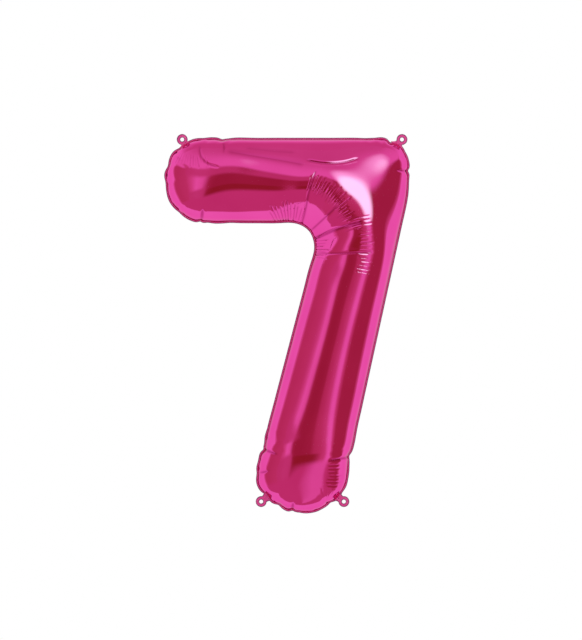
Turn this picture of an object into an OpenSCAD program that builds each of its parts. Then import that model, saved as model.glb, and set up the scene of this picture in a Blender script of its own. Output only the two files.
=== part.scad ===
// Foil number balloon in the shape of a 7, inflated.
// Millimetres, +Z up, front face towards -Y. The origin is the middle of the line
// between the two upper hanging holes, in the plane of the edge seal.

/* [Outline] */
// Height of the inflated balloon from its top edge to the lowest point of its foot
body_h = 862.5; // [840:0.5:885]
// Height of the top edge above the upper hanging holes
top_z = 4; // [2:0.5:8]
// Height of the arm, seal to seal
arm_h = 196.5; // [188:0.5:206]
// Reach of the arm to the left of the origin
arm_left = 291.5; // [280:0.5:305]
// Reach of the upper corner to the right of the origin
corner_right = 269.5; // [262:0.5:280]
// Distance from the arm's left end to the sharp inner corner
inner_corner_x = 357.5; // [350:0.5:366]
// Slope of the leg's inner edge away from vertical
inner_slope = 14.7; // [13.5:0.1:15.5]
// Slope of the leg's outer edge away from vertical
outer_slope = 12.4; // [11.5:0.1:13.2]
// Height of the bend in the outer edge, below the origin
outer_bend_z = 121.5; // [110:0.5:130]
// Corner radius at the arm's upper left
r_upper_left = 90; // [80:1:92]
// Corner radius at the arm's lower left
r_lower_left = 94; // [80:1:100]
// Radius of the inner corner
r_inner = 54; // [45:1:62]
// Radius of the foot
r_foot = 102; // [94:0.5:102]
// Radius of the bend in the outer edge
r_outer_bend = 300; // [150:10:400]
// Corner radius at the upper right
r_upper_right = 65; // [50:1:75]

/* [Film] */
// Depth of each inflated half along the limbs, from the seal's face to the crown
dome_h = 92.5; // [70:0.5:94]
// Extra depth of each half at the elbow, where the limbs meet
elbow_swell = 22; // [0:1:26]
// Distance over which that extra depth fades out
swell_reach = 180; // [120:10:220]
// Distance from the crown line to the seal, across a limb
dome_half_w = 92; // [90:1:93]
// Thickness of one foil sheet
film_t = 0.5; // [0.4:0.1:0.8]
// Thickness of the welded edge seal
seal_t = 1; // [0.9:0.1:1.6]
// Width of the welded edge seal
seal_w = 7; // [6:0.5:9]

/* [Hanging tabs] */
// Distance between the two upper holes
upper_hole_spacing = 505; // [495:0.5:515]
// Distance between the two lower holes
lower_hole_spacing = 190; // [184:0.5:196]
// Middle of the two lower holes, to the right of the origin
lower_hole_x = 24; // [20:0.5:28]
// Lower holes, below the upper ones
lower_hole_z = 832; // [828:0.5:836]
// Outer radius of a tab's ring
tab_r = 12.5; // [11:0.5:15]
// Radius of a tab's punched hole
hole_r = 4.5; // [3:0.5:5]
// Distance from a hole's centre to the crease where its tab bends
crease_d = 8.5; // [7.5:0.5:9]

/* [Valve] */
// Width of the valve's film sleeve
valve_w = 40; // [30:1:50]
// Length of the sleeve inside the balloon
valve_len = 105; // [80:1:130]
// Width of the inlet slit through the seal
inlet_w = 24; // [16:1:28]
// Thickness of one ply of the sleeve
ply_t = 0.2; // [0.15:0.05:0.2]
// Length of the printed release patch
patch_len = 34; // [20:1:40]

/* [Mesh] */
// Spacing of the film's mesh along the arm and the leg
station_step = 16; // [12:1:24]
// Number of mesh steps across a limb
cross_steps = 18; // [12:2:24]

/* [Hidden] */

arc_step = 6;            // degrees between points on a round stretch of the outline
dome_inset = seal_w - 2; // the film leaves the seal this far in from its edge
crease_gap = 0.1;        // clearance at a crease, beyond the seal's half thickness
bead_r = 0.4;            // rounded edge of a tab at its crease
root_flare = 6;          // how much wider a tab's root is at each side, where it meets the seal
ply_gap = 0.1;           // distance from the seal's middle plane to each valve ply
patch_t = 0.06;          // thickness of the printed release patch
patch_side = 4;          // the patch ends this far in from each side of the inlet
flap_bead_r = 0.09;      // rounded edge of the valve's front ply at its crease
flap_gap = 0.3;          // clearance between the front ply and the seal
slack = 1;               // extra length on cutting shapes

foil = [0.82, 0.11, 0.45];
welded_foil = [0.72, 0.09, 0.40];
valve_film = [0.88, 0.88, 0.86];
release_ink = [0.25, 0.45, 0.75];

// ---- plane geometry: every point is [x, z] in the plane of the seal ----

foot_z = top_z - body_h;
arm_z = top_z - arm_h;
inner_x = inner_corner_x - arm_left;
function inner_edge_x(z) = inner_x + tan(inner_slope) * (z - arm_z);
function outer_edge_x(z) = corner_right + tan(outer_slope) * (z + outer_bend_z);

// Sharp corners of the outline, anticlockwise from the upper left, each with its radius
corners = [
    [-arm_left, top_z, r_upper_left],
    [-arm_left, arm_z, r_lower_left],
    [inner_x, arm_z, r_inner],
    [inner_edge_x(foot_z), foot_z, r_foot],
    [outer_edge_x(foot_z), foot_z, r_foot],
    [corner_right, -outer_bend_z, r_outer_bend],
    [corner_right, top_z, r_upper_right]
];

function pt(v) = [v[0], v[1]];
function cross2(a, b) = a[0] * b[1] - a[1] * b[0];
function unit(v) = v / norm(v);
function left_of(v) = [-v[1], v[0]];

// Unit direction of the side that leaves corner i
function side_dir(i) = unit(pt(corners[(i + 1) % len(corners)]) - pt(corners[i]));

// Where the two sides at corner i cross after both move inwards by d
function inset_corner(i, d) =
    let (
        a = side_dir((i + len(corners) - 1) % len(corners)),
        b = side_dir(i),
        p = pt(corners[i]) + d * left_of(a),
        q = pt(corners[i]) + d * left_of(b)
    )
    p + a * cross2(q - p, b) / cross2(a, b);

// Points of the rounded corner i, inset by d: convex corners shrink, the concave one grows
function corner_arc(i, d) =
    let (
        a = side_dir((i + len(corners) - 1) % len(corners)),
        b = side_dir(i),
        turn = atan2(cross2(a, b), a * b),
        side = sign(turn),
        r = corners[i][2] - side * d,
        start = inset_corner(i, d) - a * r * tan(abs(turn) / 2),
        middle = start + side * r * left_of(a),
        first = atan2(start[1] - middle[1], start[0] - middle[0]),
        n = max(2, ceil(abs(turn) / arc_step))
    )
    [for (k = [0:n]) middle + r * [cos(first + turn * k / n), sin(first + turn * k / n)]];

// The balloon's edge, inset by d
function outline(d) = [for (i = [0:len(corners) - 1]) each corner_arc(i, d)];

function segment_distance(p, a, b) =
    let (t = max(0, min(1, (p - a) * (b - a) / ((b - a) * (b - a))))) norm(p - a - t * (b - a));
function edge_distance(p, loop) =
    min([for (i = [0:len(loop) - 1]) segment_distance(p, loop[i], loop[(i + 1) % len(loop)])]);

// Where the line through p along d crosses the loop, as distances along d
function crossings(p, d, loop) = [
    for (i = [0:len(loop) - 1])
        let (
            a = loop[i],
            e = loop[(i + 1) % len(loop)] - a,
            det = cross2(d, e),
            u = det == 0 ? -1 : cross2(a - p, d) / det
        )
        if (u >= 0 && u < 1) cross2(a - p, e) / det
];

// ---- the inflated film ----

// The spine runs along the arm, round the inner corner's centre and down the leg.
fan_centre = inset_corner(2, 0) + [-r_inner * tan((90 + inner_slope) / 2), -r_inner];
spine_r = r_inner + arm_h / 2;
leg_dir = [-sin(inner_slope), -cos(inner_slope)];
leg_across = [cos(inner_slope), -sin(inner_slope)];
foot_centre = [inner_edge_x(foot_z) + r_foot * tan((90 + inner_slope) / 2), foot_z + r_foot];
leg_len = (foot_centre - fan_centre) * leg_dir + r_foot;

elbow_turn = (90 - inner_slope) / 2;
elbow_centre = fan_centre + spine_r * [cos(elbow_turn), sin(elbow_turn)];
function swell(p) = elbow_swell * exp(-pow(norm(p - elbow_centre) / swell_reach, 2));

function steps(length) = ceil(length / station_step);

// Cross lines of the film's mesh for a film that starts d in from the edge: [point on the spine, direction]
function stations(d) =
    let (
        x0 = d - arm_left,
        arm = fan_centre[0] - x0,
        n_arm = steps(arm),
        fan = 90 + inner_slope,
        n_fan = steps(fan * PI / 180 * spine_r),
        leg = leg_len - d - slack,
        n_leg = steps(leg)
    )
    [
        for (k = [0:n_arm - 1])
            let (s = 1 - cos(90 * k / n_arm)) [[x0 + (k == 0 ? 0 : arm * s), top_z - arm_h / 2], [0, 1]],
        for (k = [0:n_fan - 1])
            let (a = 90 - fan * k / n_fan, out = [cos(a), sin(a)]) [fan_centre + spine_r * out, out],
        for (k = [0:n_leg])
            [fan_centre + spine_r * leg_across + leg * sin(90 * k / n_leg) * leg_dir, leg_across]
    ];

// One ring of the profile: [x, z, height], from the inner edge to the outer edge
function cross_line(station, loop, height, half_w, flat) =
    let (
        t = crossings(station[0], station[1], loop),
        low = max([for (x = t) if (x <= 0) x]),
        high = min([for (x = t) if (x > 0) x])
    )
    [
        for (j = [0:cross_steps])
            let (
                u = (1 - cos(180 * j / cross_steps)) / 2,
                p = station[0] + (low + (high - low) * u) * station[1],
                extra = swell(p),
                w = half_w + extra,
                edge = flat || j == 0 || j == cross_steps,
                d = edge ? 0 : min(w, edge_distance(p, loop))
            )
            [p[0], p[1], (height + extra) * sqrt(1 - pow(1 - d / w, 2))]
    ];

function film_grid(d, height, half_w) =
    let (lines = stations(d), loop = outline(d), last = len(lines) - 1)
    [
        for (i = [0:last])
            let (nudge = i == 0 ? [0.001, 0] : [0, 0])
            each cross_line([lines[i][0] + nudge, lines[i][1]], loop, height, half_w, i == 0 || i == last)
    ];

// A domed sheet of even thickness, open at the seal. side is -1 for the front and 1 for the rear.
module film(side) {
    row = cross_steps + 1;
    outer = film_grid(dome_inset, dome_h, dome_half_w);
    inner = film_grid(dome_inset + film_t, dome_h - film_t, dome_half_w - film_t);
    rows_out = len(outer) / row;
    rows_in = len(inner) / row;
    assert(rows_out == rows_in);
    rows = rows_out;
    count = rows * row;
    rim = [
        for (j = [0:cross_steps - 1]) j,
        for (i = [0:rows - 2]) i * row + cross_steps,
        for (j = [cross_steps:-1:1]) (rows - 1) * row + j,
        for (i = [rows - 1:-1:1]) i * row
    ];
    points = [for (p = concat(outer, inner)) [p[0], side * (seal_t / 2 + p[2]), p[1]]];
    cells = [for (i = [0:rows - 2]) for (j = [0:cross_steps - 1]) i * row + j];
    sheet = [for (c = cells) each [[c, c + 1, c + row + 1], [c, c + row + 1, c + row]]];
    wall = [
        for (k = [0:len(rim) - 1])
            let (a = rim[k], b = rim[(k + 1) % len(rim)])
            each [[a, count + a, count + b], [a, count + b, b]]
    ];
    faces = concat(
        sheet,
        [for (f = sheet) [count + f[2], count + f[1], count + f[0]]],
        wall
    );
    polyhedron(points, side < 0 ? faces : [for (f = faces) [f[2], f[1], f[0]]]);
}

module front_panel() {
    color(foil) film(-1);
}

module rear_panel() {
    color(foil) film(1);
}

// ---- hanging tabs ----

upper_left_centre = [r_upper_left - arm_left, top_z - r_upper_left];
upper_right_centre = [corner_right - r_upper_right, top_z - r_upper_right];

// [hole centre, centre of the outline's arc behind it, radius of that arc]
upper_left = [[-upper_hole_spacing / 2, 0], upper_left_centre, r_upper_left];
upper_right = [[upper_hole_spacing / 2, 0], upper_right_centre, r_upper_right];
lower_left = [[lower_hole_x - lower_hole_spacing / 2, -lower_hole_z], foot_centre, r_foot];
lower_right = [[lower_hole_x + lower_hole_spacing / 2, -lower_hole_z], foot_centre, r_foot];

crease_half_w = sqrt(tab_r * tab_r - crease_d * crease_d);

// Extrudes a shape drawn in the plane of the seal, centred on that plane
module sheet(thickness) {
    rotate([90, 0, 0]) linear_extrude(thickness, center = true) children();
}

// Moves a shape drawn with its hole at [0, 0] and the balloon along +x to a tab's place
module at_tab(tab) {
    inward = tab[1] - tab[0];
    translate([tab[0][0], 0, tab[0][1]]) rotate([0, -atan2(inward[1], inward[0]), 0]) children();
}

module tab(which) {
    color(welded_foil) at_tab(which) {
        sheet(seal_t) difference() {
            circle(tab_r, $fn = 64);
            translate([crease_d, -tab_r - slack]) square([tab_r, 2 * (tab_r + slack)]);
            circle(hole_r, $fn = 48);
        }
        translate([crease_d, 0, 0]) cylinder(h = 2 * crease_half_w - slack, r = bead_r, center = true, $fn = 24);
    }
}

// The short root that carries a tab, on the seal's side of the crease
module tab_root(which) {
    near = crease_d + seal_t / 2 + crease_gap;
    far = norm(which[1] - which[0]) - which[2] + seal_w / 2;
    at_tab(which) sheet(seal_t) polygon([
        [near, -crease_half_w], [far, -crease_half_w - root_flare],
        [far, crease_half_w + root_flare], [near, crease_half_w]
    ]);
}

// ---- edge seal ----

valve_x = foot_centre[0];
mouth_z = foot_z;
// The sleeve widens just above the seal's curved inner edge
sleeve_z = foot_centre[1] - sqrt(pow(r_foot - seal_w, 2) - pow(valve_w / 2, 2)) + flap_gap;

module edge_seal() {
    color(welded_foil) difference() {
        union() {
            sheet(seal_t) difference() {
                polygon(outline(0));
                polygon(outline(seal_w));
            }
            for (which = [upper_left, upper_right, lower_left, lower_right]) tab_root(which);
        }
        translate([valve_x - inlet_w / 2, -ply_gap - ply_t, mouth_z - slack])
            cube([inlet_w, 2 * (ply_gap + ply_t), seal_w + 2 * slack]);
    }
}

// ---- self-sealing valve ----

// The front ply is the flap: it swings away from the rear ply while gas goes in.
module valve_front_ply() {
    y = -ply_gap - ply_t / 2;
    color(valve_film) {
        translate([valve_x - valve_w / 2, y - ply_t / 2, sleeve_z]) cube([valve_w, ply_t, valve_len]);
        translate([valve_x, y, sleeve_z]) rotate([0, 90, 0])
            cylinder(h = valve_w - slack, r = flap_bead_r, center = true, $fn = 24);
    }
}

// The rear ply runs out through the inlet to the balloon's edge, and widens inside.
module valve_rear_ply() {
    color(valve_film) translate([0, ply_gap, 0]) {
        translate([valve_x - inlet_w / 2, 0, mouth_z + slack]) cube([inlet_w, ply_t, sleeve_z - mouth_z]);
        translate([valve_x - valve_w / 2, 0, sleeve_z]) cube([valve_w, ply_t, valve_len]);
    }
}

// Heat-resistant ink on the rear ply keeps the inlet from welding shut.
module valve_release_patch() {
    color(release_ink) translate([valve_x - inlet_w / 2 + patch_side, ply_gap - patch_t, mouth_z + 2 * slack])
        cube([inlet_w - 2 * patch_side, patch_t, patch_len]);
}

front_panel();
rear_panel();
edge_seal();
tab(upper_left);  // tab_upper_left
tab(upper_right);  // tab_upper_right
tab(lower_left);  // tab_lower_left
tab(lower_right);  // tab_lower_right
valve_front_ply();
valve_rear_ply();
valve_release_patch();
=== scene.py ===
"""A magenta foil number balloon, a 7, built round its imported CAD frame.

Metres, +Z up, front towards -Y. The origin is midway between the two upper hanging holes, and Y = 0 is the
plane of the edge seal. Two flat sheets of film, joined at their edge, are inflated by cloth simulation and
fitted to the seal's outline. Then come the folds, the welded edge, the four hanging tabs and the valve.
"""
from collections import Counter
from math import atan2, copysign, cos, inf, pi, radians, sin, sqrt, tan

import bmesh
import bpy
import numpy as np
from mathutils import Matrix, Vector, geometry, kdtree


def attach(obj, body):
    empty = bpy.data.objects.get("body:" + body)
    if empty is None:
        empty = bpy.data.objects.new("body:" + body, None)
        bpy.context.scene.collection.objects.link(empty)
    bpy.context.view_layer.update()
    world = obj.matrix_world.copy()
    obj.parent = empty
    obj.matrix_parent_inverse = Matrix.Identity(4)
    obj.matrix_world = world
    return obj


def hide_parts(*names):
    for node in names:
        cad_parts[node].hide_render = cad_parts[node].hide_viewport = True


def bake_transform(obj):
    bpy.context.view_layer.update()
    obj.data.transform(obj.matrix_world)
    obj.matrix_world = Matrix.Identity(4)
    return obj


# ---- driving dimensions, as in the CAD part ----

BODY_H = 0.8625
TOP_Z = 0.004
ARM_H = 0.1965
ARM_LEFT = 0.2915
CORNER_RIGHT = 0.2695
INNER_CORNER_X = 0.3575
INNER_SLOPE = radians(14.7)
OUTER_SLOPE = radians(12.4)
OUTER_BEND_Z = 0.1215
R_UPPER_LEFT = 0.090
R_LOWER_LEFT = 0.094
R_INNER = 0.054
R_FOOT = 0.102
R_OUTER_BEND = 0.300
R_UPPER_RIGHT = 0.065
UPPER_HOLE_SPACING = 0.505
LOWER_HOLE_SPACING = 0.190
LOWER_HOLE_X = 0.024
LOWER_HOLE_Z = 0.832
TAB_R = 0.0125
HOLE_R = 0.0045
WELD_W = 0.0034  # visible width of the welded edge, outside the inflated film
OUTLINE_STEP = 0.002  # spacing of the points on outlines
PROBE = 0.001  # how far a test point steps off an outline

FOOT_Z = TOP_Z - BODY_H
ARM_Z = TOP_Z - ARM_H
INNER_X = INNER_CORNER_X - ARM_LEFT


def inner_edge_x(z):
    return INNER_X + tan(INNER_SLOPE) * (z - ARM_Z)


def outer_edge_x(z):
    return CORNER_RIGHT + tan(OUTER_SLOPE) * (z + OUTER_BEND_Z)


# Sharp corners of the outline, anticlockwise from the upper left: x, z, radius
CORNERS = [
    (-ARM_LEFT, TOP_Z, R_UPPER_LEFT),
    (-ARM_LEFT, ARM_Z, R_LOWER_LEFT),
    (INNER_X, ARM_Z, R_INNER),
    (inner_edge_x(FOOT_Z), FOOT_Z, R_FOOT),
    (outer_edge_x(FOOT_Z), FOOT_Z, R_FOOT),
    (CORNER_RIGHT, -OUTER_BEND_Z, R_OUTER_BEND),
    (CORNER_RIGHT, TOP_Z, R_UPPER_RIGHT),
]
FAN_CENTRE = np.array([INNER_X - R_INNER * tan((pi / 2 + INNER_SLOPE) / 2), ARM_Z - R_INNER])
FOOT_CENTRE = np.array([inner_edge_x(FOOT_Z) + R_FOOT * tan((pi / 2 + INNER_SLOPE) / 2), FOOT_Z + R_FOOT])


def in_metres(value):
    """A table in millimetres, taken to metres."""
    return value / 1000 if isinstance(value, (int, float)) else type(value)(in_metres(v) for v in value)


# ---- plane geometry: points are rows [x, z] ----


def cross2(a, b):
    return a[..., 0] * b[..., 1] - a[..., 1] * b[..., 0]


def left_of(v):
    return np.array([-v[1], v[0]])


def lengths(rows):
    return np.linalg.norm(rows, axis=-1)


def turn_of(rows):
    return np.degrees(np.arctan2(rows[:, 1], rows[:, 0]))


def in_space(plane, y):
    return np.stack([plane[:, 0], y, plane[:, 1]], 1)


def tree_of(points):
    tree = kdtree.KDTree(len(points))
    for i, point in enumerate(points):
        tree.insert(point, i)
    tree.balance()
    return tree


def distance_along(line):
    return np.concatenate([[0], np.cumsum(lengths(np.diff(line, axis=0)))])


def rounded_outline(corners, offset, step):
    """The outline of rounded corners (x, z, radius), moved outwards by offset and sampled every step."""
    count = len(corners)
    points = [np.array(c[:2]) for c in corners]
    sides = [points[(i + 1) % count] - points[i] for i in range(count)]
    sides = [s / np.linalg.norm(s) for s in sides]
    loop = []
    for i in range(count):
        a, b = sides[i - 1], sides[i]
        p, q = points[i] - offset * left_of(a), points[i] - offset * left_of(b)
        corner = p + a * cross2(q - p, b) / cross2(a, b)
        turn = atan2(cross2(a, b), a @ b)
        side = copysign(1, turn)
        radius = corners[i][2] + side * offset
        start = corner - a * radius * tan(abs(turn) / 2)
        middle = start + side * radius * left_of(a)
        first = atan2(*(start - middle)[::-1])
        angles = first + turn * np.linspace(0, 1, max(4, int(abs(turn) * radius / OUTLINE_STEP)))
        loop.append(middle + radius * np.stack([np.cos(angles), np.sin(angles)], 1))
    return resample(np.vstack(loop), step)


def resample(loop, step):
    """The same closed loop with even spacing."""
    closed = np.vstack([loop, loop[:1]])
    along = distance_along(closed)
    places = np.linspace(0, along[-1], int(round(along[-1] / step)), endpoint=False)
    return np.stack([np.interp(places, along, closed[:, k]) for k in range(loop.shape[1])], 1)


def inside(points, loop):
    """Which points lie inside the closed loop."""
    result = np.zeros(len(points), bool)
    x, z = points.T
    for (x0, z0), (x1, z1) in zip(loop, np.roll(loop, -1, 0)):
        if z0 != z1:
            result ^= ((z0 > z) != (z1 > z)) & (x < (x1 - x0) * (z - z0) / (z1 - z0) + x0)
    return result


def nearest_on(points, loop, closed=True):
    """Each point's distance to the loop, the nearest place on it and how far along that is."""
    ends = np.roll(loop, -1, 0) if closed else loop[1:]
    best = np.full(len(points), np.inf)
    place, along = np.zeros_like(points), np.zeros(len(points))
    start = 0.0
    for a, b in zip(loop, ends):
        side = b - a
        length = np.linalg.norm(side)
        t = np.clip((points - a) @ side / length ** 2, 0, 1)
        foot = a + t[:, None] * side
        gap = lengths(points - foot)
        closer = gap < best
        best[closer], place[closer], along[closer] = gap[closer], foot[closer], start + t[closer] * length
        start += length
    return best, place, along


def smoothstep(low, high, value):
    t = np.clip((value - low) / (high - low), 0, 1)
    return t * t * (3 - 2 * t)


def bell(value, middle, width):
    return np.exp(-((value - middle) / width) ** 2)


def outward_of(loop):
    """Unit vectors in the plane, square to the closed loop and away from what it encloses."""
    along = np.roll(loop, -2, 0) - np.roll(loop, 2, 0)
    square = np.stack([along[:, 1], -along[:, 0]], 1)
    square /= lengths(square)[:, None]
    return square if inside(loop + square * PROBE, loop).mean() < 0.5 else -square


def triangulated(points, rings, kind, tolerance):
    """Delaunay triangles over the points, with the rings as fixed sides. It works in millimetres."""
    out = geometry.delaunay_2d_cdt([Vector(p) for p in points * 1000], rings, [], kind, tolerance)
    return np.array([tuple(v) for v in out[0]]) / 1000, out[2], out[3]


def ring_sides(count, first=0):
    return [(first + k, first + (k + 1) % count) for k in range(count)]


def rows_of(items, name, width=3, kind=float):
    """A property of several numbers, read off each of a mesh's items."""
    values = np.empty(len(items) * width, kind)
    items.foreach_get(name, values)
    return values.reshape(-1, width)


# ---- the cut pattern and its inflation ----

ARM_OPEN = radians(26)  # the flat arm is cut this much more open
FLAT_MARGIN = 0.060  # the flat sheet reaches this much further out
ARM_TAPER = 0.010  # the arm's end and the foot are cut narrower
LEG_TAPER = 0.014
LEG_EXTRA = 0.010
FLAT_RADII = [0.145, 0.145, 0.090, 0.150, 0.150, 0.112]  # of the flat corners, from the arm's upper one
COARSE_STEP = 0.012  # side of the triangles
FINE_STEP = 0.006
JITTER = 0.18  # the points stray from an even grid by this share of a side
EDGE_CLEAR = 0.62  # and keep this share of a side away from the edge
COARSE_FRAMES = 30
FINE_FRAMES = 16
START_LIFT = 0.005  # each sheet starts this far off the seam's plane
LIFT_REACH = 0.15
NEAR_TRIANGLES = 8
FILM = {
    "use_dynamic_mesh": True, "quality": 5, "mass": 0.3, "air_damping": 4,
    "tension_stiffness": 50, "shear_stiffness": 50, "compression_stiffness": 0.5, "bending_stiffness": 0.1,
    "tension_damping": 5, "compression_damping": 5, "shear_damping": 5, "bending_damping": 0.5,
    "use_pressure": True, "uniform_pressure_force": 20,
}


def flat_pattern(step):
    """The edge of one flat sheet: the inflated outline with its arm swung open about the inner corner."""
    hinge = np.array([INNER_X, ARM_Z])
    cosine, sine = cos(ARM_OPEN), sin(ARM_OPEN)
    turn = np.array([[cosine, sine], [-sine, cosine]])

    def swing(x, z):
        return hinge + turn @ (np.array([x, z]) - hinge)

    foot_z = FOOT_Z - LEG_EXTRA
    arm_top = swing(-ARM_LEFT, TOP_Z - ARM_TAPER)
    arm_low = swing(-ARM_LEFT, ARM_Z + ARM_TAPER)
    foot_left = np.array([inner_edge_x(foot_z) + LEG_TAPER, foot_z])
    foot_right = np.array([outer_edge_x(foot_z) - LEG_TAPER, foot_z])
    top_line = swing(CORNER_RIGHT, TOP_Z) - arm_top
    bend = np.array([CORNER_RIGHT, -OUTER_BEND_Z])
    outer_line = foot_right - bend
    outer_corner = arm_top + top_line * cross2(bend - arm_top, outer_line) / cross2(top_line, outer_line)
    points = [arm_top, arm_low, hinge, foot_left, foot_right, outer_corner]
    corners = []
    for i, point in enumerate(points):
        before = point - points[i - 1]
        after = points[(i + 1) % len(points)] - point
        side = copysign(1, cross2(before, after))
        corners.append((*point, FLAT_RADII[i] - side * FLAT_MARGIN))
    return rounded_outline(corners, FLAT_MARGIN, step)


def cut_sheets(step):
    """Front and rear sheets, flat, as one triangle mesh that shares the edge."""
    edge = flat_pattern(step)
    rng = np.random.default_rng(3)
    low, high = edge.min(0), edge.max(0)
    row = step * sqrt(3) / 2
    wide, tall = high - low
    i, j = np.meshgrid(np.arange(int(wide / step) + 1), np.arange(int(tall / row) + 1))
    grid = np.stack([low[0] + (i + 0.5 * (j % 2)) * step, low[1] + j * row], -1).reshape(-1, 2)
    grid += rng.uniform(-1, 1, grid.shape) * step * JITTER
    grid = grid[inside(grid, edge)]
    grid = grid[nearest_on(grid, edge)[0] > EDGE_CLEAR * step]
    count = len(edge)
    flat2, tris, sources = triangulated(np.vstack([edge, grid]), ring_sides(count), 1, 1e-4)
    tris = np.array([tuple(f) for f in tris])
    seam = np.zeros(count, int)
    for k, origins in enumerate(sources):
        for o in origins:
            if o < count:
                seam[o] = k
    a, b, c = (flat2[tris[:, k]] for k in range(3))
    tris = np.where((cross2(b - a, c - a) > 0)[:, None], tris, tris[:, ::-1])
    n = len(flat2)
    on_edge = np.zeros(n, bool)
    on_edge[seam] = True
    rear = np.arange(n)
    rear[~on_edge] = n + np.arange((~on_edge).sum())
    flat = np.zeros((n + (~on_edge).sum(), 3))
    flat[:n, 0], flat[:n, 2] = flat2.T
    flat[n:] = flat[:n][~on_edge]
    return {"flat": flat, "tris": tris, "rear": rear, "n": n, "seam": seam, "on_edge": on_edge, "edge": edge}


def all_faces(sheets):
    return np.vstack([sheets["tris"], sheets["rear"][sheets["tris"]][:, ::-1]])


def lifted(sheets):
    """The flat sheets, parted a little so that gas can fill them."""
    n = sheets["n"]
    gap = nearest_on(sheets["flat"][:, [0, 2]], sheets["edge"])[0]
    height = START_LIFT * np.sqrt(1 - (1 - np.minimum(gap / LIFT_REACH, 1)) ** 2)
    start = sheets["flat"].copy()
    start[:n, 1] = -height[:n]
    start[n:, 1] = height[n:]
    start[:n][sheets["on_edge"], 1] = 0
    return start


def carried_over(coarse, shape, fine):
    """Starting places for the finer sheets, read off the coarse ones."""
    n = coarse["n"]
    tris, flat = coarse["tris"], coarse["flat"][:n][:, [0, 2]]
    tree = tree_of([(*p, 0) for p in flat[tris].mean(1)])
    start = np.zeros_like(fine["flat"])
    for i, q in enumerate(fine["flat"][:fine["n"]][:, [0, 2]]):
        best = (-inf, 0, None)
        for _, t, _ in tree.find_n((*q, 0), NEAR_TRIANGLES):
            a, b, c = flat[tris[t]]
            u, v = np.linalg.solve(np.array([b - a, c - a]).T, q - a)
            weights = np.array([1 - u - v, u, v])
            best = max(best, (weights.min(), t, weights), key=lambda found: found[0])
            if best[0] >= 0:
                break
        _, t, weights = best
        start[i] = weights @ shape[tris[t]]
        if not fine["on_edge"][i]:
            start[fine["rear"][i]] = weights @ shape[coarse["rear"][tris[t]]]
    return start


def inflate(sheets, start, frames):
    """Cloth simulation with pressure. The keyed shape sets the flat pattern as the film's resting shape."""
    mesh = bpy.data.meshes.new("inflating")
    mesh.from_pydata(start.tolist(), [], all_faces(sheets).tolist())
    film = bpy.data.objects.new("inflating", mesh)
    scene.collection.objects.link(film)
    film.shape_key_add(name="Basis")
    key = film.shape_key_add(name="flat")
    key.data.foreach_set("co", sheets["flat"].ravel())
    for frame_number, value in ((1, 0), (2, 1)):
        key.value = value
        key.keyframe_insert("value", frame=frame_number)
    cloth = film.modifiers.new("Cloth", "CLOTH")
    for setting, value in FILM.items():
        setattr(cloth.settings, setting, value)
    cloth.settings.effector_weights.gravity = 0
    cloth.collision_settings.use_collision = False
    cloth.collision_settings.use_self_collision = False
    cloth.point_cache.frame_start = scene.frame_start = 1
    cloth.point_cache.frame_end = scene.frame_end = frames + 1
    for number in range(1, frames + 2):
        scene.frame_set(number)
    done = film.evaluated_get(bpy.context.evaluated_depsgraph_get()).data
    shape = rows_of(done.vertices, "co")
    bpy.data.objects.remove(film)
    bpy.data.meshes.remove(mesh)
    scene.frame_set(1)
    return shape


def inflated_film():
    """Coarse sheets find the shape, finer ones its puckers."""
    coarse = cut_sheets(COARSE_STEP)
    shape = inflate(coarse, lifted(coarse), COARSE_FRAMES)
    fine = cut_sheets(FINE_STEP)
    return fine, inflate(fine, carried_over(coarse, shape, fine), FINE_FRAMES)


# ---- fitting the inflated film to the seal ----

SEAM_SMOOTH = 24  # averaging passes that take the puckers out of the seam
RIGID_PASSES = 40
WARP_PASSES = 4
SCALLOP_KEPT = 0.45  # of the simulated scallops, in the seam's plane
WAVE_KEPT = 0.5  # and across that plane
SCALLOP_REACH = 0.022
NOISE_PASSES = 3  # passes that only take out the mesh's own zigzag
WARP_HANDLES = 72
# The foot is fuller beside its tabs: place, how far out, reach
BULGES = in_metres([((-74, -796), 6.5, 32), ((119, -798), 5.5, 28), ((-80, -760), 2, 30)])
# Notches in the edge, where folds run out through the seam: place, depth, reach
NOTCHES = in_metres([
    ((228, -3), 6.5, 8.5), ((266, -72), 4, 6), ((-161, 3), 3, 7), ((-212, -192), 4.5, 6),
    ((-68, -712), 4.5, 7), ((136, -728), 4, 7), ((0, -853), 3.5, 6),
])


def smooth_loop(points, passes):
    for _ in range(passes):
        points = (np.roll(points, 1, 0) + 2 * points + np.roll(points, -1, 0)) / 4
    return points


def spread(points, handles, moves):
    """A smooth field of moves over the plane that gives each handle its own move (cubic splines)."""
    def basis(p):
        return lengths(p[:, None] - handles[None]) ** 3

    def plane(p):
        return np.hstack([np.ones((len(p), 1)), p])

    count = len(handles)
    system = np.zeros((count + 3, count + 3))
    system[:count, :count] = basis(handles) + 1e-7 * np.eye(count)
    system[:count, count:] = plane(handles)
    system[count:, :count] = plane(handles).T
    weights = np.linalg.solve(system, np.vstack([moves, np.zeros((3, 2))]))
    return basis(points) @ weights[:count] + plane(points) @ weights[count:]


def seam_target():
    """The inner side of the welded edge, with the foot fuller beside its tabs."""
    target = rounded_outline(CORNERS, -WELD_W, OUTLINE_STEP)
    away = outward_of(target)
    for spot, size, reach in BULGES:
        target = target + size * away * bell(lengths(target - spot), 0, reach)[:, None]
    return target


def laid_over(plane, seam, target):
    """The film turned and shifted in its plane until the seam lies best over the target."""
    for _ in range(RIGID_PASSES):
        ring = plane[seam]
        goal = nearest_on(ring, target)[1]
        centre, aim = ring.mean(0), goal.mean(0)
        u, _, v = np.linalg.svd((ring - centre).T @ (goal - aim))
        plane = (plane - centre) @ (u @ v) + aim
    return plane


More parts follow.
